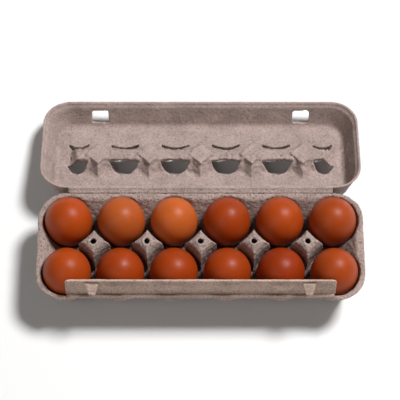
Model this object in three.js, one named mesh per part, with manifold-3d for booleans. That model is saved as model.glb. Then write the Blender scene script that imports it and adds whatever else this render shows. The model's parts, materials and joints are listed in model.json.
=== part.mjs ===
// A moulded-pulp carton for twelve eggs, standing open: the tray with its eggs at the
// front, the lid folded right over behind it, and the locking flap upright along the
// tray's front edge. Millimetres, +Z up, X along the carton, -Y to the front.
import * as THREE from 'three';
import { mergeVertices } from 'three/addons/utils/BufferGeometryUtils.js';
import Module from 'manifold-3d';

const wasm = await Module();
wasm.setup();

// Carton as a whole. Y is measured from the fold between tray and lid.
const COLUMNS = 6;
const PITCH = 48;                // egg to egg along the carton
const ROW_PITCH = 49.4;          // back row to front row
const LENGTH = 296;
const DEPTH = 106;               // fold to front edge
const CORNER = 26;               // corner radius of the outline
const PULP = 2.2;                // wall thickness
const GAP = 0.3;                 // between neighbouring pieces
const FOLD_LENGTH = 242;         // straight folds stop before the round corners

// Tray
const RIM = 48;                  // top of the flange above the table
const FLANGE_BACK = 1.5;         // fold line to flange
const FLANGE_FRONT = DEPTH - 2.8;
const FOLD_TO_BACK_ROW = 28.6;
const CUP_PROFILE = [[2.4, 10.5], [15, 14.9], [28, 19.5], [38, 21.9], [RIM, 23.4]];
const CUP_WALL = 2.35;           // the pulp measured level, on the sloping cup
const CUP_SIDES = 20;
const SADDLE = 31;               // lowest point of the web between two eggs
const SADDLE_REACH = 22;         // from there out to full rim height
const WEB = 2.6;                 // upright thickness of the webs
const POST_TOP = RIM + 11;
const POST_SHOULDER = RIM + 5;   // where its faces turn steeper
const POST_HOLE = 2.3;           // radius

// Eggs, blunt end up
const EGG_RADIUS = 21.5;
const EGG_BELOW = 32;            // widest circle to pointed end
const EGG_ABOVE = 25;            // widest circle to blunt end
const EGG_WIDEST = RIM - 3.3;    // height of the widest circle

// Lid, as it lies when closed: Z up from the fold
const LID_HEIGHT = 26.5;
const LID_SHOULDER = 2;          // height of the rounding under the top panel
const LID_BACK = 4;              // fold to back wall
const SIDE_DRAFT = THREE.MathUtils.degToRad(22);
const FRONT_DRAFT = THREE.MathUtils.degToRad(18);
const BACK_DRAFT = THREE.MathUtils.degToRad(11);
const RIDGE_FLOOR = 17.8;        // underside of the centre ridge above the rim
const RIDGE_HALF = 6.2;          // its half width there
const RIDGE_SLOPE = 0.7;         // widening for each millimetre up
const RIDGE_LENGTH = 246;
const POST_FLOOR = 12;           // underside of the lid's posts above the rim
const POST_HALF = 9;             // corner distance of the post's square end
const WINDOW = { halfWidth: 13, nearDepth: 10, farDepth: 7, fromCentre: 6.6 };
const END_WINDOW = { halfWidth: 8.5, shift: 4 };  // narrower, moved in from the ridge's end
const LATCH = { x: 2 * PITCH, width: 18, low: 7.5, high: 20.5 };

// Locking flap, upright from its fold
const FLAP_HEIGHT = 23.2;
const FLAP_LENGTH = 240;
const FLAP_PULP = 2;
const FLAP_FOLD = DEPTH - 3.2;
const FLAP_START = 1;            // fold to its lower edge, room to lean inwards
const NUB = { rootWidth: 15, tipWidth: 8.5, low: 9, high: 19.2, reach: 5.8 };
const BEAD = { height: 19.4, radius: 1.1 };

const pulpLook = { roughness: 0.92, metalness: 0 };
const trayPulp = new THREE.MeshStandardMaterial({ color: 0xa89a92, ...pulpLook });
const lidPulp = new THREE.MeshStandardMaterial({ color: 0x9c8e87, ...pulpLook });
const flapPulp = new THREE.MeshStandardMaterial({ color: 0xa5968d, ...pulpLook });
const foldPulp = new THREE.MeshStandardMaterial({ color: 0x8d7f78, ...pulpLook });
const shell = new THREE.MeshStandardMaterial({ color: 0xa8552a, roughness: 0.45, metalness: 0 });

const columnX = (column) => (column - (COLUMNS - 1) / 2) * PITCH;
const columns = Array.from({ length: COLUMNS }, (_, column) => columnX(column));
const posts = columns.slice(1).map((x) => x - PITCH / 2);
const rows = [
  { name: 'back', y: -FOLD_TO_BACK_ROW },
  { name: 'front', y: -FOLD_TO_BACK_ROW - ROW_PITCH },
];
const middleY = (rows[0].y + rows[1].y) / 2;

// ---- Solids -------------------------------------------------------------------

function solidOf(geometry) {
  geometry.deleteAttribute('normal');
  geometry.deleteAttribute('uv');
  const merged = mergeVertices(geometry, 1e-4);
  return new wasm.Manifold(new wasm.Mesh({
    numProp: 3,
    vertProperties: new Float32Array(merged.attributes.position.array),
    triVerts: new Uint32Array(merged.index.array),
  }));
}

function meshOf(name, solid, material) {
  const { vertProperties, triVerts } = solid.getMesh();
  const geometry = new THREE.BufferGeometry();
  geometry.setAttribute('position', new THREE.BufferAttribute(vertProperties, 3));
  geometry.setIndex(new THREE.BufferAttribute(triVerts, 1));
  geometry.computeVertexNormals();
  const mesh = new THREE.Mesh(geometry, material);
  mesh.name = name;
  return mesh;
}

const union = (solids) => solids.reduce((whole, solid) => whole.add(solid));

// A closed body through level sections, lowest first. Each section is a convex
// outline with the same number of points, anticlockwise from above.
function loft(sections) {
  const count = sections[0].length;
  const index = [];
  for (let level = 0; level + 1 < sections.length; level += 1) {
    for (let i = 0; i < count; i += 1) {
      const next = (i + 1) % count;
      const low = level * count;
      const high = low + count;
      index.push(low + i, low + next, high + next, low + i, high + next, high + i);
    }
  }
  const top = (sections.length - 1) * count;
  for (let i = 1; i + 1 < count; i += 1) {
    index.push(0, i + 1, i, top, top + i, top + i + 1);
  }
  const geometry = new THREE.BufferGeometry().setFromPoints(sections.flat());
  geometry.setIndex(index);
  return solidOf(geometry);
}

function rectangle(x, y, halfX, halfY, z) {
  return [[1, 1], [-1, 1], [-1, -1], [1, -1]].map(
    ([sx, sy]) => new THREE.Vector3(x + sx * halfX, y + sy * halfY, z));
}

function diamond(x, y, half, z) {
  return [[1, 0], [0, 1], [-1, 0], [0, -1]].map(
    ([sx, sy]) => new THREE.Vector3(x + sx * half, y + sy * half, z));
}

function roundedRectangle(y, halfX, halfY, radius, z, steps = 5) {
  const points = [];
  for (let corner = 0; corner < 4; corner += 1) {
    const sx = corner === 0 || corner === 3 ? 1 : -1;
    const sy = corner < 2 ? 1 : -1;
    for (let step = 0; step <= steps; step += 1) {
      const angle = (corner + step / steps) * Math.PI / 2;
      points.push(new THREE.Vector3(
        sx * (halfX - radius) + radius * Math.cos(angle),
        y + sy * (halfY - radius) + radius * Math.sin(angle),
        z));
    }
  }
  return points;
}

function box(x, y, z, sizeX, sizeY, sizeZ) {
  return solidOf(new THREE.BoxGeometry(sizeX, sizeY, sizeZ).translate(x, y, z));
}

// A round body about an upright axis from [height, radius] pairs, lowest first.
function turned(x, y, profile, sides) {
  const points = [
    new THREE.Vector2(0, profile[0][0]),
    ...profile.map(([height, radius]) => new THREE.Vector2(radius, height)),
    new THREE.Vector2(0, profile.at(-1)[0]),
  ];
  const geometry = new THREE.LatheGeometry(points, sides);
  return solidOf(geometry.rotateX(Math.PI / 2).translate(x, y, 0));
}

// ---- Tray ---------------------------------------------------------------------

// V valleys over the webs: one along each row, one across each column.
function valleys(floor) {
  const rise = RIM + 5 - SADDLE;
  const half = SADDLE_REACH * rise / (RIM - SADDLE);
  const alongRows = rows.map(({ y }) => loft([
    rectangle(0, y, columns.at(-1), 1, floor),
    rectangle(0, y, columns.at(-1), half, floor + rise),
  ]));
  const acrossColumns = columns.map((x) => loft([
    rectangle(x, middleY, 1, ROW_PITCH / 2, floor),
    rectangle(x, middleY, half, ROW_PITCH / 2, floor + rise),
  ]));
  return union([...alongRows, ...acrossColumns]);
}

function cups(wall) {
  const profile = CUP_PROFILE.map(([height, radius]) => [height, radius + wall]);
  const foot = wall > 0 ? [[0, profile[0][1] - wall]] : [];
  const mouth = [[RIM + 1, profile.at(-1)[1]]];
  return union(rows.flatMap(({ y }) => columns.map(
    (x) => turned(x, y, [...foot, ...profile, ...mouth], CUP_SIDES))));
}

// Pointed posts where four eggs meet, standing out of the valleys; cover is the pulp
// between this surface and the outside.
function trayPosts(cover) {
  const inset = cover * 1.2;
  return union(posts.map((x) => loft([
    diamond(x, middleY, PITCH / 2 - inset, SADDLE),
    diamond(x, middleY, 14 - inset / 2, POST_SHOULDER - cover),
    diamond(x, middleY, 6.5 - inset / 2, POST_TOP - cover),
  ])));
}

function trayFootprint(z, margin) {
  const halfY = (DEPTH - FLANGE_BACK) / 2;
  const y = -FLANGE_BACK - halfY;
  return roundedRectangle(y, LENGTH / 2 + margin, halfY + margin, CORNER + margin, z);
}

function makeTray() {
  const above = loft([trayFootprint(0, 0), trayFootprint(RIM, 0)])
    .subtract(valleys(SADDLE))
    .add(trayPosts(0))
    .subtract(cups(0));
  const underFlange = RIM - PULP;
  const below = loft([trayFootprint(-1, 1), trayFootprint(underFlange, 1)])
    .subtract(valleys(SADDLE - WEB))
    .add(trayPosts(WEB))
    .subtract(cups(CUP_WALL));
  const postHoles = union(posts.map((x) => turned(
    x, middleY, [[RIM, POST_HOLE], [POST_TOP + 1, POST_HOLE]], 10)));
  const frontNotch = box(0, -FLANGE_FRONT - 5, RIM / 2, FOLD_LENGTH, 10, RIM + 2);
  return above.subtract(below).subtract(postHoles).subtract(frontNotch);
}

// ---- Lid ----------------------------------------------------------------------

// Level sections of the lid's shell, drawn in by the wall's draft; cover is the pulp
// between this surface and the outside.
function lidSections(cover) {
  const top = LID_HEIGHT - cover;
  const shoulder = top - LID_SHOULDER;
  const base = cover > 0 ? -1 : GAP / 2;
  const section = (z, extra) => {
    const inset = (draft) => cover / Math.cos(draft) + z * Math.tan(draft) + extra;
    const front = -DEPTH + inset(FRONT_DRAFT);
    const back = -LID_BACK - inset(BACK_DRAFT);
    const radius = CORNER - inset(FRONT_DRAFT);
    return roundedRectangle(
      (front + back) / 2, LENGTH / 2 - inset(SIDE_DRAFT), (back - front) / 2, radius, z);
  };
  return [section(base, 0), section(shoulder, 0), section(top, LID_SHOULDER)];
}

// The trough pressed into the top panel along the middle, with a square pit between
// columns; drop is how far its faces stand off the ridge seen inside the lid.
function ridge(drop) {
  const top = LID_HEIGHT + 1;
  const half = (z) => RIDGE_HALF - drop * 0.55 + (z - RIDGE_FLOOR - drop) * RIDGE_SLOPE;
  const floor = RIDGE_FLOOR + drop;
  const trough = loft([
    rectangle(0, middleY, RIDGE_LENGTH / 2 - drop, half(floor), floor),
    rectangle(0, middleY, RIDGE_LENGTH / 2 - drop + 6, half(top), top),
  ]);
  const pitFloor = POST_FLOOR + drop;
  const pits = posts.map((x) => loft([
    diamond(x, middleY, POST_HALF - drop, pitFloor),
    diamond(x, middleY, POST_HALF - drop + (top - pitFloor) * 0.93, top),
  ]));
  return union([trough, ...pits]);
}

// A half-round window through one slope of the ridge, flat side to the ridge. Those
// towards the fold are deeper.
function windowCut(x, side) {
  const atEnd = Math.abs(x) === columns.at(-1);
  const centre = atEnd ? x - Math.sign(x) * END_WINDOW.shift : x;
  const halfWidth = atEnd ? END_WINDOW.halfWidth : WINDOW.halfWidth;
  const depth = side > 0 ? WINDOW.nearDepth : WINDOW.farDepth;
  const outline = Array.from({ length: 9 }, (_, i) => {
    const angle = i / 8 * Math.PI;
    return [halfWidth * Math.cos(angle), depth * Math.sin(angle)];
  });
  if (side < 0) {
    outline.reverse();
  }
  const section = (z) => outline.map(([along, out]) => new THREE.Vector3(
    centre + along, middleY + side * (WINDOW.fromCentre + out), z));
  return loft([section(0), section(LID_HEIGHT + 2)]);
}

function makeLid() {
  const inside = loft(lidSections(PULP)).subtract(ridge(0));
  const hingeFlange = box(
    0, -(LID_BACK + 0.5 + FLANGE_BACK) / 2, GAP / 2 + 1,
    FOLD_LENGTH, LID_BACK + 0.5 - FLANGE_BACK, 2);
  const windows = columns.flatMap((x) => [windowCut(x, 1), windowCut(x, -1)]);
  const latchHoles = [-LATCH.x, LATCH.x].map((x) => box(
    x, -DEPTH, (LATCH.low + LATCH.high) / 2, LATCH.width, 30, LATCH.high - LATCH.low));
  return loft(lidSections(0))
    .subtract(ridge(PULP))
    .subtract(inside)
    .add(hingeFlange)
    .subtract(union(windows))
    .subtract(union(latchHoles));
}

// Angle past flat at which the folded-over lid comes down on the table.
function restAngle() {
  const farPoints = [LID_HEIGHT - LID_SHOULDER, LID_HEIGHT].map((z) => {
    const extra = z === LID_HEIGHT ? LID_SHOULDER : 0;
    return new THREE.Vector2(DEPTH - z * Math.tan(FRONT_DRAFT) - extra, z);
  });
  const foldHeight = RIM + GAP / 2;
  return Math.min(...farPoints.map(
    (point) => Math.asin(foldHeight / point.length()) - Math.atan2(point.y, point.x)));
}

// ---- Locking flap and folds -----------------------------------------------------

function flapNub(x) {
  const section = (z, reach, width) => [[0, 0.5], [-reach, 0.5]].flatMap(([y, share], i) => {
    const half = (i === 0 ? NUB.rootWidth : width) * share;
    return i === 0
      ? [new THREE.Vector3(x + half, y + 0.5, z), new THREE.Vector3(x - half, y + 0.5, z)]
      : [new THREE.Vector3(x - half, y, z), new THREE.Vector3(x + half, y, z)];
  });
  return loft([
    section(NUB.low, NUB.reach, NUB.tipWidth),
    section(NUB.low + 1.5, NUB.reach, NUB.tipWidth),
    section(NUB.high, 0.2, NUB.rootWidth),
  ]);
}

function makeFlap() {
  const half = FLAP_LENGTH / 2;
  const round = 7;
  const outline = new THREE.Shape();
  outline.moveTo(-half, FLAP_START);
  outline.lineTo(half, FLAP_START);
  outline.lineTo(half, FLAP_HEIGHT - round);
  outline.absarc(half - round, FLAP_HEIGHT - round, round, 0, Math.PI / 2);
  outline.lineTo(round - half, FLAP_HEIGHT);
  outline.absarc(round - half, FLAP_HEIGHT - round, round, Math.PI / 2, Math.PI);
  const plate = new THREE.ExtrudeGeometry(outline, {
    depth: FLAP_PULP, bevelEnabled: false, curveSegments: 5,
  });
  plate.rotateX(Math.PI / 2).translate(0, FLAP_PULP, 0);
  const bead = new THREE.CylinderGeometry(BEAD.radius, BEAD.radius, FLAP_LENGTH - 16, 8);
  bead.rotateZ(Math.PI / 2).translate(0, 0.4, BEAD.height);
  return union([
    solidOf(plate), solidOf(bead), flapNub(-LATCH.x), flapNub(LATCH.x),
  ]);
}

// ---- Eggs -----------------------------------------------------------------------

function makeEgg(name, x, y) {
  const rings = 10;
  const points = Array.from({ length: rings + 1 }, (_, i) => {
    const angle = (i / rings - 0.5) * Math.PI;
    const reach = angle < 0 ? EGG_BELOW : EGG_ABOVE;
    const radius = i % rings === 0 ? 0 : EGG_RADIUS * Math.cos(angle);
    return new THREE.Vector2(radius, reach * Math.sin(angle));
  });
  const solid = solidOf(new THREE.LatheGeometry(points, 16).rotateX(Math.PI / 2));
  const egg = meshOf(name, solid, shell);
  egg.position.set(x, y, EGG_WIDEST);
  return egg;
}

// ---- Assembly -------------------------------------------------------------------

const model = new THREE.Group();
model.add(meshOf('tray', makeTray(), trayPulp));

const lidGroup = new THREE.Group();
lidGroup.position.z = RIM + GAP / 2;
lidGroup.rotation.x = -(Math.PI + restAngle());
lidGroup.add(meshOf('lid', makeLid(), lidPulp));
model.add(lidGroup);

const flapGroup = new THREE.Group();
flapGroup.position.set(0, -FLAP_FOLD, RIM + GAP / 2);
flapGroup.rotation.x = -FRONT_DRAFT;
flapGroup.add(meshOf('locking_flap', makeFlap(), flapPulp));
model.add(flapGroup);

model.add(meshOf('lid_hinge_crease', box(0, 0, RIM - 0.5, FOLD_LENGTH, 2, 1), foldPulp));
model.add(meshOf(
  'flap_hinge_crease',
  box(0, -FLANGE_FRONT - 0.4, RIM - 0.75, FLAP_LENGTH - 2, 0.6, 1.3),
  foldPulp));

for (const { name, y } of rows) {
  columns.forEach((x, i) => model.add(makeEgg(`egg_${name}_${i + 1}`, x, y)));
}

// The part's origin is the middle of its footprint, on the table.
const extent = new THREE.Box3().setFromObject(model, true);
const middle = extent.getCenter(new THREE.Vector3());
model.position.set(-middle.x, -middle.y, -extent.min.z);

const carton = new THREE.Group();
carton.add(model);

export default carton;
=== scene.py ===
"""The look of a moulded-pulp egg carton: rough pulp shells, the folds and twelve eggs."""

import json
import math

import bpy
import numpy as np
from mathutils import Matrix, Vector


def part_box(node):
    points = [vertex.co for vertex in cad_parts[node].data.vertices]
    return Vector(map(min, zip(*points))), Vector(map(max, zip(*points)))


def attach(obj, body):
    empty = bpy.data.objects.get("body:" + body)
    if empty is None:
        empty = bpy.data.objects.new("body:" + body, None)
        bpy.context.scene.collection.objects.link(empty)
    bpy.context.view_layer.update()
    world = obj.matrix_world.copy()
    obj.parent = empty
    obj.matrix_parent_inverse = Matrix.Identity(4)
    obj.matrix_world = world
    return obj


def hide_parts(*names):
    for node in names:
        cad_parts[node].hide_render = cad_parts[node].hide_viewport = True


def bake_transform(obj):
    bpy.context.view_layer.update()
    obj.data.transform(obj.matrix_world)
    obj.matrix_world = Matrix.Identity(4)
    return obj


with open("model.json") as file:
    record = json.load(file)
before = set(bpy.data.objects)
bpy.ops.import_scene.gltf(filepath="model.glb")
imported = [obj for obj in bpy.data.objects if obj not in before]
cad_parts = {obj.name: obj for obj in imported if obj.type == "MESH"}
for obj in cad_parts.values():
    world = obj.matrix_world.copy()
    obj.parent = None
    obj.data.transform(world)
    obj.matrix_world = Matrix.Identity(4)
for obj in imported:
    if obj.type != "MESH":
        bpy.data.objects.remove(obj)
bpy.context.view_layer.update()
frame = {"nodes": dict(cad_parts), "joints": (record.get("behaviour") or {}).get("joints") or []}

# ---- Dimensions, in millimetres -------------------------------------------------
# The tray is modelled with Y from the fold between tray and lid, and Z from the table.
# The lid is modelled closed, with Y and Z from that fold, and the flap upright, with Y
# and Z from its own fold.

MM = 0.001
JOINTS = {joint["name"]: joint for joint in frame["joints"]}
FOLD = Vector(JOINTS["lid_fold"]["pos_m"]) / MM
FLAP_FOLD = Vector(JOINTS["flap_fold"]["pos_m"]) / MM
LID_OPEN = math.radians(JOINTS["lid_fold"]["range_deg"][0])

EGGS = [name for name in frame["nodes"] if name.startswith("egg_")]


def box_mm(node):
    """A CAD node's lowest and highest corners."""
    low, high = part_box(node)
    return low / MM, high / MM


def egg_centre(node):
    low, high = box_mm(node)
    return (low + high) / 2


COLUMNS = sorted({round(egg_centre(name).x, 3) for name in EGGS})
ROWS = sorted({round(egg_centre(name).y - FOLD.y, 3) for name in EGGS})
PITCH = COLUMNS[1] - COLUMNS[0]
ROW_PITCH = ROWS[1] - ROWS[0]
POSTS = [x + PITCH / 2 for x in COLUMNS[:-1]]
MIDDLE = sum(ROWS) / 2

TRAY_LOW, TRAY_HIGH = box_mm("tray")
LENGTH = TRAY_HIGH.x - TRAY_LOW.x
FRONT = TRAY_LOW.y - FOLD.y
BACK = TRAY_HIGH.y - FOLD.y
RIM = FOLD.z - 0.15
POST_TOP = TRAY_HIGH.z
CORNER = 26                     # radius of the outline's corners
PULP = 2.2                      # wall thickness
RIM_SEAT = 6                    # width of the level band round the flange
SADDLE = 20                     # lowest point of a web, above the table
SADDLE_REACH = 20               # from there out to full rim height
INNER_SLOPE = 0.32              # slope of the valleys between rows, as a share of the gussets'
POST_LEVELS = (SADDLE, RIM - 4, RIM + 3, POST_TOP - 3, POST_TOP)
POST_HALVES = (15.5, 15.4, 14.4, 11.4, 6.2)
POST_HOLE = 2.5                 # radius
CUP_LEVELS = (2.4, 15, 28, 38, RIM)
CUP_RADII = (10.5, 14.9, 19.5, 21.9, 23.4)
FOLD_HALF = 121

LID_HEIGHT = 26.5
LID_BACK = 4                    # fold to back wall
LID_LIP = 1.2                   # step out at the rim
SIDE_DRAFT = math.radians(22)
FRONT_DRAFT = math.radians(18)
BACK_DRAFT = math.radians(11)
RIDGE_FLOOR = 17.2
RIDGE_SAG = 1.2                 # how much less deep it is between two posts
RIDGE_HALF = 5.2                # half width of its floor
RIDGE_STEEPNESS = 1.5
FAR_SLOPE_SHARE = 0.6           # the slope away from the fold is gentler by this
RIDGE_END = 122
LID_POST_FLOOR = 14.2
LID_POST_HALF = 8.2
LID_POST_SPREAD = 0.9           # widening for each millimetre up
WINDOW_HALF = 14.2
WINDOW_START = 6.0              # straight edge, from the ridge's middle
WINDOW_DEPTH = 9.6
WINDOW_BULGE = 1.6              # how far the straight edge bows back
END_WINDOW_HALF = 10.0
END_WINDOW_SHIFT = 4            # in from the last column
SLIT_START = 9.2
SLIT_START_BEND = 10.5
SLIT_END = 16.8
SLIT_END_BEND = 4.6
SLIT_SHARE = 0.93               # of the window's width
LATCH = {"x": 2 * PITCH, "half": 7.8, "low": 7.4, "high": 21}

FLAP_HALF = 120
FLAP_HEIGHT = 23.2
FLAP_PULP = 2.0
FLAP_START = 0.6                # gap over the tray
FLAP_PUSH = math.radians(3)     # how far the flap can be pushed inwards
FLAP_SETBACK = 1.3
LOBE_TOP = 20
LOBE_RADIUS = 13
LOBE_DEPTH = 2.6
BEAD_DEPTH = 1.3
HOLLOW_DEPTH = 0.9
NUB_LOW = 9
NUB_HIGH = 19.2
NUB_REACH = 5.8
NUB_HALF_LOW = 3.0
NUB_WIDENING = 3.4              # from bottom to top

GRID = 0.85


# ---- Fields: negative inside, roughly in millimetres ------------------------------

def smooth_max(a, b, blend):
    mix = np.clip(0.5 + 0.5 * (a - b) / blend, 0, 1)
    return b * (1 - mix) + a * mix + blend * mix * (1 - mix)


def smooth_min(a, b, blend):
    return -smooth_max(-a, -b, blend)


def rounded_rectangle(x, y, centre_y, half_x, half_y, radius):
    dx = np.abs(x) - half_x + radius
    dy = np.abs(y - centre_y) - half_y + radius
    outside = np.hypot(np.maximum(dx, 0), np.maximum(dy, 0))
    return outside + np.minimum(np.maximum(dx, dy), 0) - radius


def block(x, y, z, low, high, round_edge=0.0):
    distances = []
    for value, start, end in zip((x, y, z), low, high):
        distances.append(np.abs(value - (start + end) / 2) - (end - start) / 2 + round_edge)
    outside = np.sqrt(sum(np.maximum(d, 0) ** 2 for d in distances))
    inside = np.minimum(np.maximum(np.maximum(distances[0], distances[1]), distances[2]), 0)
    return outside + inside - round_edge


def axes(low, high, step=GRID):
    """Grid lines along x, y and z, shaped to be combined into a field."""
    counts = [int(math.ceil((b - a) / step)) + 1 for a, b in zip(low, high)]
    x, y, z = (a + step * np.arange(n, dtype=np.float32) for a, n in zip(low, counts))
    return x[:, None, None], y[None, :, None], z[None, None, :]


def lumps(x, y, z, size, seed):
    """Smooth random lumps of about that size over the grid, mostly within -1 to 1."""
    rng = np.random.default_rng(seed)
    weights = []
    for values in (x.ravel(), y.ravel(), z.ravel()):
        place = (values - values[0]) / size
        cell = np.floor(place).astype(int)
        part = place - cell
        part = part * part * (3 - 2 * part)
        table = np.zeros((len(values), cell[-1] + 2), np.float32)
        table[np.arange(len(values)), cell] = 1 - part
        table[np.arange(len(values)), cell + 1] += part
        weights.append(table)
    lattice = rng.normal(0, 0.6, [w.shape[1] for w in weights]).astype(np.float32)
    for axis, table in enumerate(weights):
        lattice = np.moveaxis(np.tensordot(table, lattice, (1, axis)), 0, axis)
    return lattice


def pulp_unevenness(x, y, z, seed):
    coarse = 0.22 * lumps(x, y, z, 11, seed)
    middle = 0.16 * lumps(x, y, z, 4.5, seed + 1)
    fine = 0.10 * lumps(x, y, z, 2.2, seed + 2)
    return coarse + middle + fine


def skin(solid, thickness):
    """The layer of pulp just inside a solid's surface."""
    return smooth_max(solid, -(solid + thickness), 0.6)


def surface(field, x, y, z):
    """Vertices and quads of the field's zero level: one vertex for each crossed cell."""
    step = float(x[1, 0, 0] - x[0, 0, 0])
    origin = np.array([x[0, 0, 0], y[0, 0, 0], z[0, 0, 0]], np.float64)
    inside = field < 0
    cells = tuple(n - 1 for n in field.shape)
    total = np.zeros((int(np.prod(cells)), 3))
    count = np.zeros(int(np.prod(cells)))
    corners = []
    for axis in range(3):
        first = [slice(None)] * 3
        second = [slice(None)] * 3
        first[axis] = slice(0, -1)
        second[axis] = slice(1, None)
        a, b = field[tuple(first)], field[tuple(second)]
        crossed = inside[tuple(first)] != inside[tuple(second)]
        edge = np.argwhere(crossed)
        u, v = (axis + 1) % 3, (axis + 2) % 3
        kept = (edge[:, u] > 0) & (edge[:, v] > 0)
        kept &= (edge[:, u] < field.shape[u] - 1) & (edge[:, v] < field.shape[v] - 1)
        edge = edge[kept]
        index = tuple(edge.T)
        share = a[index] / (a[index] - b[index])
        point = edge.astype(np.float64)
        point[:, axis] += share
        around = []
        for du, dv in ((-1, -1), (0, -1), (0, 0), (-1, 0)):
            cell = edge.copy()
            cell[:, u] += du
            cell[:, v] += dv
            flat = np.ravel_multi_index(tuple(cell.T), cells)
            for k in range(3):
                total[:, k] += np.bincount(flat, point[:, k], len(count))
            count += np.bincount(flat, minlength=len(count))
            around.append(flat)
        quads = np.stack(around, 1)
        outward = inside[tuple(first)][index]
        quads[~outward] = quads[~outward][:, ::-1]
        corners.append(quads)
    used = np.flatnonzero(count)
    renumber = np.full(len(count), -1)
    renumber[used] = np.arange(len(used))
    points = origin + step * total[used] / count[used, None]
    return points, renumber[np.concatenate(corners)]


def make_mesh(name, points, faces, material):
    mesh = bpy.data.meshes.new(name)
    mesh.from_pydata((points * MM).tolist(), [], [tuple(face) for face in faces])
    mesh.validate()
    mesh.shade_smooth()
    mesh.materials.append(material)
    piece = bpy.data.objects.new(name, mesh)
    bpy.context.scene.collection.objects.link(piece)
    return piece


def turned_about_x(points, angle, origin):
    """Points given about a fold, turned about it and put in place."""
    c, s = math.cos(angle), math.sin(angle)
    y, z = points[:, 1], points[:, 2]
    turned = np.stack([points[:, 0], y * c - z * s, y * s + z * c], 1)
    return turned + np.array(origin)


# ---- Materials --------------------------------------------------------------------

class Nodes:
    """A small helper that adds shader nodes and joins them up."""

    def __init__(self, name):
        self.material = bpy.data.materials.new(name)
        self.material.use_nodes = True
        self.tree = self.material.node_tree
        self.shader = self.tree.nodes["Principled BSDF"]

    def add(self, kind, **settings):
        node = self.tree.nodes.new(kind)
        for key, value in settings.items():
            setattr(node, key, value)
        return node

    def link(self, source, target):
        self.tree.links.new(source, target)

    def noise(self, scale, detail=3.0, roughness=0.6, stretch=None, distortion=0.0):
        position = self.add("ShaderNodeTexCoord").outputs["Object"]
        if stretch:
            mapping = self.add("ShaderNodeMapping")
            mapping.inputs["Scale"].default_value = stretch
            self.link(position, mapping.inputs["Vector"])
            position = mapping.outputs["Vector"]
        noise = self.add("ShaderNodeTexNoise")
        noise.inputs["Scale"].default_value = scale
        noise.inputs["Detail"].default_value = detail
        noise.inputs["Roughness"].default_value = roughness
        noise.inputs["Distortion"].default_value = distortion
        self.link(position, noise.inputs["Vector"])
        return noise.outputs["Fac"]

    def ramp(self, value, stops):
        ramp = self.add("ShaderNodeValToRGB")
        elements = ramp.color_ramp.elements
        while len(elements) < len(stops):
            elements.new(0.5)
        for element, (place, colour) in zip(elements, stops):
            element.position = place
            element.color = (*colour, 1)
        self.link(value, ramp.inputs["Fac"])
        return ramp.outputs["Color"]

    def mix(self, factor, a, b, blend="MIX"):
        mix = self.add("ShaderNodeMix", data_type="RGBA", blend_type=blend)
        if isinstance(factor, float):
            mix.inputs["Factor"].default_value = factor
        else:
            self.link(factor, mix.inputs["Factor"])
        for value, socket in ((a, mix.inputs["A"]), (b, mix.inputs["B"])):
            if isinstance(value, tuple):
                socket.default_value = (*value, 1)
            else:
                self.link(value, socket)
        return mix.outputs["Result"]

    def band(self, value, low, high, to_low=0.0, to_high=1.0):
        band = self.add("ShaderNodeMapRange")
        band.inputs["From Min"].default_value = low
        band.inputs["From Max"].default_value = high
        band.inputs["To Min"].default_value = to_low
        band.inputs["To Max"].default_value = to_high
        self.link(value, band.inputs["Value"])
        return band.outputs["Result"]

    def bump(self, height, distance, strength=1.0, normal=None):
        bump = self.add("ShaderNodeBump")
        bump.inputs["Distance"].default_value = distance
        bump.inputs["Strength"].default_value = strength
        self.link(height, bump.inputs["Height"])
        if normal is not None:
            self.link(normal, bump.inputs["Normal"])
        return bump.outputs["Normal"]


def linear(red, green, blue):
    """An sRGB colour, 0 to 255, as the shader's linear one."""
    def one(value):
        value /= 255
        return value / 12.92 if value <= 0.04045 else ((value + 0.055) / 1.055) ** 2.4
    return one(red), one(green), one(blue)


def pulp_material(name, tone, roughness):
    """Grey-brown moulded paper pulp: clouded, flecked with dark and pale fibres, felted."""
    n = Nodes(name)
    light = tuple(c * 1.13 for c in tone)
    dark = tuple(c * 0.80 for c in tone)
    clouds = n.noise(55, 4, 0.65)
    colour = n.ramp(clouds, [(0.30, dark), (0.52, tone), (0.72, light)])
    grain = n.noise(560, 3, 0.75)
    pore = 1 - 0.62 * roughness
    shade = n.ramp(grain, [
        (0.37, (pore, 0.97 * pore, 0.95 * pore)),
        (0.47, (1, 1, 1)),
        (0.62, (1.15, 1.15, 1.15))])
    colour = n.mix(0.9, colour, shade, "MULTIPLY")
    flecks = n.noise(300, 5, 0.75, stretch=(1.0, 0.45, 0.7), distortion=1.6)
    dark_flecks = n.band(flecks, 0.65 - 0.05 * roughness, 0.73 - 0.05 * roughness)
    colour = n.mix(dark_flecks, colour, tuple(c * 0.30 for c in tone))
    pale = n.noise(360, 4, 0.7, stretch=(0.4, 1.0, 0.8), distortion=1.2)
    pale_flecks = n.band(pale, 0.68 - 0.06 * roughness, 0.78 - 0.06 * roughness, 0.0, 0.55)
    colour = n.mix(pale_flecks, colour, tuple(min(1.0, c * 1.6 + 0.05) for c in tone))
    # Painted shade in the creases and a painted highlight on sharp edges, taken from the mesh's
    # pointiness and stronger on rougher pulp.
    crease = n.add("ShaderNodeNewGeometry").outputs["Pointiness"]
    crease_shade_and_edge_light = n.ramp(crease, [(0.40, (0.45, 0.42, 0.40)), (0.5, (1, 1, 1)), (0.60, (1.18, 1.18, 1.18))])
    colour = n.mix(roughness, colour, crease_shade_and_edge_light, "MULTIPLY")
    n.link(colour, n.shader.inputs["Base Color"])
    n.shader.inputs["Roughness"].default_value = 0.93
    n.shader.inputs["Specular IOR Level"].default_value = 0.22
    normal = n.bump(n.noise(190, 4, 0.62), 0.0014, roughness)
    normal = n.bump(n.noise(640, 4, 0.7, stretch=(0.6, 1.0, 1.0)), 0.0006, roughness, normal)
    n.link(normal, n.shader.inputs["Normal"])
    return n.material


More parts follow.
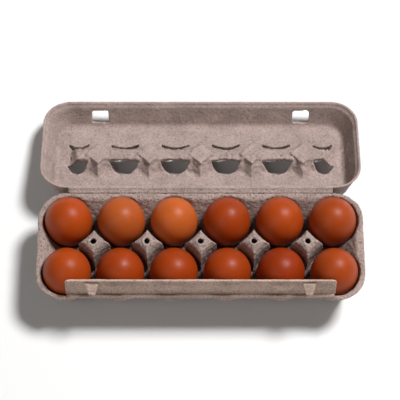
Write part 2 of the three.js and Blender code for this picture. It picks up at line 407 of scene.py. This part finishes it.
def egg_material(name, tone, blotch):
    """Brown eggshell: slightly blotched, freckled, with fine pores and a soft sheen."""
    n = Nodes(name)
    clouds = n.noise(42, 4, 0.6)
    colour = n.ramp(clouds, [
        (0.32, tuple(c * (1 - blotch) for c in tone)),
        (0.52, tone),
        (0.75, tuple(min(1.0, c * (1 + blotch)) for c in tone))])
    freckles = n.noise(900, 3, 0.6)
    colour = n.mix(n.band(freckles, 0.62, 0.75, 0.0, 0.5), colour, tuple(c * 0.62 for c in tone))
    n.link(colour, n.shader.inputs["Base Color"])
    n.link(n.band(n.noise(260, 3, 0.6), 0.3, 0.7, 0.37, 0.47), n.shader.inputs["Roughness"])
    n.shader.inputs["Specular IOR Level"].default_value = 0.2
    normal = n.bump(n.noise(1500, 2, 0.5), 0.00022, 0.45)
    normal = n.bump(n.noise(240, 2, 0.5), 0.0005, 0.12, normal)
    n.link(normal, n.shader.inputs["Normal"])
    return n.material


TRAY_PULP = pulp_material("tray_pulp", linear(157, 139, 132), 1.0)
LID_PULP = pulp_material("lid_pulp", linear(159, 141, 135), 0.5)
# Painted light: the flap's pulp is the same as the tray's and the lid's but is painted lighter, to make
# up for the shade the flap stands in under the key lamp. The flap fold shares it.
FLAP_PULP_PAINTED_LIGHTER = pulp_material("flap_pulp", linear(188, 163, 150), 0.6)
FOLD_PULP = pulp_material("fold_pulp", linear(152, 134, 128), 1.0)


# ---- Tray ---------------------------------------------------------------------------

def cup_air(x, y, z, cup_x, cup_y):
    """The round hollow of one cell."""
    radius = np.interp(z, (0, *CUP_LEVELS, RIM + 20), (9.5, *CUP_RADII, 25.2)).astype(np.float32)
    wall = (np.hypot(x - cup_x, y - cup_y) - radius) * 0.95
    return smooth_max(wall, CUP_LEVELS[0] - z, 5)


def valley_air(x, y, z):
    """Air over the webs: steep V gussets at the flange, shallow valleys between the cells."""
    slope = (RIM - SADDLE) / SADDLE_REACH
    inner = slope * INNER_SLOPE
    along = np.maximum(np.abs(x) - COLUMNS[-1], 0)
    air = None
    for row in ROWS:
        to_middle = (y - row) * math.copysign(1, MIDDLE - row)
        rise = np.hypot(along * slope, to_middle * np.where(to_middle > 0, inner, slope))
        one = (SADDLE + np.sqrt(rise ** 2 + 4) - 1 - z) * 0.75
        air = one if air is None else np.minimum(air, one)
    across = np.maximum(np.abs(y - MIDDLE) - ROW_PITCH / 2, 0)
    beside = np.where(np.abs(x) > COLUMNS[-1], slope, inner)
    for column in COLUMNS:
        rise = np.hypot(across * slope, (x - column) * beside)
        air = np.minimum(air, (SADDLE + np.sqrt(rise ** 2 + 4) - 1 - z) * 0.75)
    return air


def post_solid(x, y, z, post_x):
    """A four-sided post with hollow sides, edges along and across, and a ring on top."""
    dx, dy = np.abs(x - post_x), np.abs(y - MIDDLE)
    half = np.interp(z, POST_LEVELS, POST_HALVES).astype(np.float32)
    side = (dx + dy + 0.25 * np.sqrt(dx * dy + 0.01) - half) * 0.65
    ring = 0.9 * np.exp(-((np.hypot(dx, dy) - 4) / 1.1) ** 2)
    return smooth_max(side, z - POST_TOP + 0.7 - ring, 1.4)


def tray_field(x, y, z):
    """Webs, flange and posts with the cells pressed in, then only their skin of pulp."""
    land = smooth_max(z - RIM, -valley_air(x, y, z), 2.5)
    for post_x in POSTS:
        land = smooth_min(land, post_solid(x, y, z, post_x), 3)
    air = None
    for row in ROWS:
        for column in COLUMNS:
            one = cup_air(x, y, z, column, row)
            air = one if air is None else np.minimum(air, one)
    land = smooth_max(land, -air, 2.2)
    rough = np.clip((z - SADDLE + 6) / 8, 0, 1)
    land = land + pulp_unevenness(x, y, z, 11) + 0.34 * rough * lumps(x, y, z, 2.4, 14)
    shell = skin(land, PULP)
    centre_y = (FRONT + BACK) / 2
    outline = rounded_rectangle(x, y, centre_y, LENGTH / 2 - 0.2, (BACK - FRONT) / 2 - 0.2, CORNER)
    shell = smooth_max(shell, outline + 0.5 * lumps(x, y, z, 6, 15), 1.6)
    shell = np.maximum(shell, np.minimum(z - RIM - 0.1, outline + RIM_SEAT))
    before_flap = y - (FLAP_FOLD.y - FOLD.y) + 0.9
    before_flap = np.maximum(np.maximum(before_flap, np.abs(x) - FLAP_HALF - 1), RIM - 3.5 - z)
    shell = np.maximum(shell, -before_flap)
    for post_x in POSTS:
        bore = np.hypot(x - post_x, y - MIDDLE) - POST_HOLE + 0.5 * lumps(x, y, z, 1.7, 17)
        shell = np.maximum(shell, np.minimum(-bore, z - RIM))
    return np.maximum(shell, -z)


def make_tray():
    x, y, z = axes((-LENGTH / 2 - 3, FRONT - 3, -2), (LENGTH / 2 + 3, BACK + 3, POST_TOP + 3))
    points, faces = surface(tray_field(x, y, z), x, y, z)
    tray = make_mesh("pulp_tray", points + np.array([0, FOLD.y, 0]), faces, TRAY_PULP)
    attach(tray, "tray")
    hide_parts("tray")


# ---- Lid ----------------------------------------------------------------------------

def ridge_air(x, y, z):
    """The trough and pits pressed into the top panel from outside."""
    away = np.abs(y - MIDDLE)
    crests = [*POSTS, -RIDGE_END - 8, RIDGE_END + 8]
    nearest = np.min(np.stack([np.abs(x - crest) for crest in crests]), 0)
    dip = np.clip(nearest / (PITCH / 2), 0, 1)
    sag = RIDGE_SAG * dip * dip * (3 - 2 * dip)
    end = np.maximum(np.abs(x) - RIDGE_END + 6, 0)
    across = np.maximum(away - RIDGE_HALF, 0) * np.where(y < MIDDLE, FAR_SLOPE_SHARE, 1)
    run = np.hypot(across, end)
    air = (RIDGE_FLOOR + sag + run * RIDGE_STEEPNESS - z) / math.hypot(1, RIDGE_STEEPNESS)
    for post in POSTS:
        half = LID_POST_HALF + np.maximum(z - LID_POST_FLOOR, 0) * LID_POST_SPREAD
        side = (np.abs(x - post) + away - half) * 0.6
        pit = smooth_max(side, LID_POST_FLOOR - z, 0.8)
        air = smooth_min(air, pit, 0.8)
    return air


def window_holes(x, y, z):
    """Through the ridge's slopes: bowls towards the fold, thin crescents on the far side."""
    near = y - MIDDLE - WINDOW_START
    far = MIDDLE - y
    holes = None
    for column in COLUMNS:
        at_end = abs(column) == COLUMNS[-1]
        centre = column - math.copysign(END_WINDOW_SHIFT, column) if at_end else column
        half = END_WINDOW_HALF if at_end else WINDOW_HALF
        share = (x - centre) / half
        bend = share ** 2
        bowl = np.maximum(near - WINDOW_DEPTH * (1 - bend), -near - WINDOW_BULGE * (1 - bend)) * 0.75
        start = SLIT_START + SLIT_START_BEND * bend
        end = SLIT_END + SLIT_END_BEND * bend
        crescent = np.maximum(start - far, far - end) * 0.8
        crescent = np.maximum(crescent, (np.abs(share) - SLIT_SHARE) * half)
        hole = np.minimum(bowl, crescent)
        holes = hole if holes is None else np.minimum(holes, hole)
    return np.maximum(holes, 12 - z)


def latch_holes(x, y, z):
    """The two holes in the front wall that the flap's nubs catch in."""
    holes = None
    for side in (-1, 1):
        low = (side * LATCH["x"] - LATCH["half"], FRONT - 6, LATCH["low"])
        high = (side * LATCH["x"] + LATCH["half"], FRONT + 14, LATCH["high"])
        hole = block(x, y, z, low, high, 3)
        holes = hole if holes is None else np.minimum(holes, hole)
    return holes


def lid_walls(x, y, z):
    """The sloping outer walls, stepped out a little at the rim."""
    rise = np.maximum(z, 0)
    lip = LID_LIP / (1 + np.exp((rise - 3.2) / 0.45))
    front = FRONT + rise * math.tan(FRONT_DRAFT) - lip
    back = -LID_BACK - rise * math.tan(BACK_DRAFT)
    half_x = LENGTH / 2 - rise * math.tan(SIDE_DRAFT) + lip
    radius = CORNER - rise * math.tan(FRONT_DRAFT)
    plan = rounded_rectangle(x, y, (front + back) / 2, half_x, (back - front) / 2, radius)
    return plan * math.cos(FRONT_DRAFT)


def lid_field(x, y, z):
    """The closed lid's solid shape, its skin of pulp, the flange by the fold and the holes."""
    body = smooth_max(lid_walls(x, y, z), z - LID_HEIGHT, 3.5)
    body = smooth_max(body, -ridge_air(x, y, z), 1.6)
    near_ridge = np.clip((22 - np.abs(y - MIDDLE)) / 8, 0, 1) * np.clip((z - 8) / 6, 0, 1)
    body = body + pulp_unevenness(x, y, z, 31) * (0.7 + 0.8 * near_ridge)
    body = body + 0.55 * near_ridge * lumps(x, y, z, 2.6, 34)
    shell = skin(body, PULP)
    flange = block(x, y, z, (-FOLD_HALF, -LID_BACK - 1.5, 0.3), (FOLD_HALF, -1.8, 2.4), 0.6)
    shell = smooth_min(shell, flange + 0.15 * lumps(x, y, z, 3, 35), 1.2)
    ragged = 0.35 * lumps(x, y, z, 2.5, 37)
    shell = np.maximum(shell, -window_holes(x, y, z) + ragged)
    shell = np.maximum(shell, -latch_holes(x, y, z) + ragged)
    return smooth_max(shell, 0.3 - z, 0.8)


def make_lid():
    x, y, z = axes((-LENGTH / 2 - 3, FRONT - 3, -2), (LENGTH / 2 + 3, 3, LID_HEIGHT + 3))
    points, faces = surface(lid_field(x, y, z), x, y, z)
    points = turned_about_x(points, LID_OPEN, FOLD)
    lid = make_mesh("pulp_lid", points, faces, LID_PULP)
    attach(lid, "lid")
    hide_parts("lid")


# ---- Locking flap -------------------------------------------------------------------

def flap_nub(x, y, z, centre_x):
    """A hook that leans out from top to bottom, narrowing as it goes."""
    rise = np.clip((z - NUB_LOW) / (NUB_HIGH - NUB_LOW), 0, 1)
    reach = NUB_REACH * (1 - rise) + 0.2
    half = NUB_HALF_LOW + NUB_WIDENING * rise
    sides = np.abs(x - centre_x) - half
    front = -y - reach
    ends = np.maximum(NUB_LOW - z, z - NUB_HIGH)
    return np.maximum(smooth_max(smooth_max(sides, front, 1.2), ends, 1), y - 1.5)


def flap_field(x, y, z):
    """A plate with four rounded lobes over a hollow, a bead on top and two nubs."""
    lobes = 0
    for column in COLUMNS[1:-1]:
        around = np.hypot((x - column) / LOBE_RADIUS, (z - LOBE_TOP) / LOBE_RADIUS)
        swell = np.clip((LOBE_TOP - z) / 12, 0, 1)
        lobes = lobes + LOBE_DEPTH * swell * np.clip((1 - around) * 6, 0, 1)
    bead = BEAD_DEPTH * np.exp(-((z - FLAP_HEIGHT + 1.1) / 1.2) ** 2)
    hollow = HOLLOW_DEPTH * np.exp(-((z - 6) / 4.5) ** 2)
    plate = np.abs(y - FLAP_PULP / 2 - FLAP_SETBACK + lobes + bead - hollow) - FLAP_PULP / 2
    outline = rounded_rectangle(x, z, FLAP_HEIGHT / 2 - 6, FLAP_HALF, FLAP_HEIGHT / 2 + 6, 5)
    field = smooth_max(plate + 0.6 * pulp_unevenness(x, y, z, 51), outline, 1.2)
    for side in (-1, 1):
        field = smooth_min(field, flap_nub(x, y, z, side * LATCH["x"]), 0.8)
    lean = FRONT_DRAFT + FLAP_PUSH
    foot = FLAP_START + y * math.sin(lean) - z * math.cos(lean)
    return smooth_max(field, foot, 0.5)


def make_flap():
    x, y, z = axes((-FLAP_HALF - 3, -8, -2), (FLAP_HALF + 3, 6, FLAP_HEIGHT + 3), 0.8 * GRID)
    points, faces = surface(flap_field(x, y, z), x, y, z)
    points = turned_about_x(points, -FRONT_DRAFT, FLAP_FOLD)
    flap = make_mesh("pulp_flap", points, faces, FLAP_PULP_PAINTED_LIGHTER)
    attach(flap, "flap")
    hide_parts("locking_flap")


# ---- Folds --------------------------------------------------------------------------

def strip(name, section, half_length, origin, material):
    """A pulp strip along the carton with that closed section of (y, z) points."""
    count = int(2 * half_length / 2.5) + 1
    along = np.linspace(-half_length, half_length, count)
    rng = np.random.default_rng(5)
    section = np.array(section)
    points = []
    for x in along:
        wobble = rng.normal(0, 0.06, section.shape)
        points += [(x, y, z) for y, z in section + wobble]
    sides = len(section)
    faces = []
    for i in range(count - 1):
        for j in range(sides):
            k = (j + 1) % sides
            faces.append((i * sides + j, i * sides + k, (i + 1) * sides + k, (i + 1) * sides + j))
    faces.append(tuple(reversed(range(sides))))
    faces.append(tuple(range((count - 1) * sides, count * sides)))
    points = np.array(points) + np.array(origin)
    return make_mesh(name, points, faces, material)


def make_lid_fold():
    """The hinge: thin pulp from the tray's flange over the fold to the lid's."""
    across = np.linspace(-2.4, 2.4, 13)
    lip = np.linspace(2.4, -2.4, 13)
    top = [(y, 0.15 - 0.45 * math.exp(-(y / 0.8) ** 2)) for y in across]
    bottom = [(y, -1.5 + 0.2 * math.exp(-(y / 1.2) ** 2)) for y in lip]
    piece = strip("lid_fold_pulp", top + bottom, FOLD_HALF, FOLD, FOLD_PULP)
    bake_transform(piece)
    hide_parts("lid_hinge_crease")


def make_flap_fold():
    """The fold under the locking flap: pulp that turns up from the flange."""
    outer = [(-0.5, -1.6), (-0.6, -0.9), (-0.5, -0.2), (-0.1, 0.6), (0.5, 1.5)]
    inner = [(2.6, 1.5), (2.3, 0.6), (2.1, -0.2), (1.9, -0.9), (1.8, -1.6)]
    piece = strip("flap_fold_pulp", outer + inner, FLAP_HALF - 1, FLAP_FOLD, FLAP_PULP_PAINTED_LIGHTER)
    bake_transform(piece)
    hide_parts("flap_hinge_crease")


# ---- Eggs ---------------------------------------------------------------------------

SHELL_BROWNS = {
    "tan": (180, 86, 34),
    "light": (168, 79, 32),
    "brown": (160, 62, 14),
    "ruddy": (152, 61, 18),
    "dark": (148, 54, 10),
    "darkest": (136, 45, 8),
}
EGG_TONES = {
    "back": ("brown", "light", "tan", "dark", "brown", "ruddy"),
    "front": ("brown", "dark", "dark", "dark", "darkest", "ruddy"),
}
EGG_SHARE_BELOW = 32 / 57       # widest circle to pointed end


def make_egg(name, seed):
    """An egg standing on its point, a little different from its neighbours."""
    low, high = box_mm(name)
    rng = np.random.default_rng(seed)
    radius = (high.x - low.x) / 2 * rng.uniform(0.985, 1.005)
    below = (high.z - low.z) * EGG_SHARE_BELOW * rng.uniform(0.985, 1.0)
    above = (high.z - low.z) * (1 - EGG_SHARE_BELOW) * rng.uniform(0.97, 1.0)
    widest = low.z + (high.z - low.z) * EGG_SHARE_BELOW
    sides, rings = 56, 40
    points = []
    for ring in range(1, rings):
        angle = (ring / rings - 0.5) * math.pi
        reach = below if angle < 0 else above
        for side in range(sides):
            turn = 2 * math.pi * side / sides
            r = radius * math.cos(angle)
            points.append((r * math.cos(turn), r * math.sin(turn), reach * math.sin(angle)))
    bottom, top = len(points), len(points) + 1
    points += [(0, 0, -below), (0, 0, above)]
    faces = []
    for ring in range(rings - 2):
        for side in range(sides):
            near, far = ring * sides, (ring + 1) * sides
            after = (side + 1) % sides
            faces.append((near + side, near + after, far + after, far + side))
    for side in range(sides):
        after = (side + 1) % sides
        last = (rings - 2) * sides
        faces.append((after, side, bottom))
        faces.append((last + side, last + after, top))
    centre = egg_centre(name)
    place = np.array(points) + np.array([centre.x, centre.y, widest])
    row, number = name.split("_")[1:]
    brown = SHELL_BROWNS[EGG_TONES[row][int(number) - 1]]
    material = egg_material("shell_" + name, linear(*brown), 0.10)
    egg = make_mesh("shell_" + name, place, faces, material)
    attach(egg, name)
    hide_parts(name)


# ---- Floor, light and camera ----------------------------------------------------------

def make_floor():
    half = 2500
    corners = [(-half, -half, 0), (half, -half, 0), (half, half, 0), (-half, half, 0)]
    n = Nodes("floor")
    n.shader.inputs["Base Color"].default_value = (0.80, 0.80, 0.80, 1)
    n.shader.inputs["Roughness"].default_value = 0.9
    floor = make_mesh("floor", np.array(corners), [(0, 1, 2, 3)], n.material)


def make_light(name, direction, distance, size, power, colour=(1, 1, 1)):
    """A round lamp that many metres away, facing the carton."""
    light = bpy.data.lights.new(name, "AREA")
    light.shape = "DISK"
    light.size = size
    light.energy = power
    light.color = colour
    lamp = bpy.data.objects.new(name, light)
    towards = Vector(direction).normalized()
    lamp.location = towards * distance
    lamp.rotation_euler = towards.to_track_quat("Z", "Y").to_euler()
    bpy.context.scene.collection.objects.link(lamp)


def make_world():
    """A pale band round the horizon under a dim ceiling."""
    world = bpy.data.worlds.new("studio")
    world.use_nodes = True
    nodes, links = world.node_tree.nodes, world.node_tree.links
    direction = nodes.new("ShaderNodeTexCoord").outputs["Generated"]
    parts = nodes.new("ShaderNodeSeparateXYZ")
    fade = nodes.new("ShaderNodeMapRange")
    links.new(direction, parts.inputs["Vector"])
    links.new(parts.outputs["Z"], fade.inputs["Value"])
    limits = {"From Min": 0.05, "From Max": 0.16, "To Min": 0.5, "To Max": 0.07}
    for socket, value in limits.items():
        fade.inputs[socket].default_value = value
    background = nodes["Background"]
    background.inputs["Color"].default_value = (1, 1, 1, 1)
    links.new(fade.outputs["Result"], background.inputs["Strength"])
    bpy.context.scene.world = world


def make_camera():
    elevation = math.radians(67)
    distance = 1.449
    target = Vector((-0.0005, FOLD.y * MM - 0.0015, 0.030))
    camera = bpy.data.cameras.new("camera")
    camera.sensor_width = 36
    camera.lens = 141
    camera.clip_end = 20
    holder = bpy.data.objects.new("camera", camera)
    towards = Vector((0, -math.cos(elevation), math.sin(elevation)))
    holder.location = target + towards * distance
    holder.rotation_euler = towards.to_track_quat("Z", "Y").to_euler()
    bpy.context.scene.collection.objects.link(holder)
    bpy.context.scene.camera = holder


make_camera()
make_tray()
make_lid()
make_flap()
make_lid_fold()
make_flap_fold()
for number, egg_name in enumerate(sorted(EGGS)):
    make_egg(egg_name, 100 + number)
make_floor()
make_light("key", direction=(0.42, 0.27, 0.87), distance=4.0, size=1.0, power=206)
make_light("fill", direction=(-0.5, -0.6, 0.75), distance=4.0, size=3.6, power=34, colour=(1, 0.96, 0.92))
make_world()
bpy.context.scene.view_settings.view_transform = "Standard"
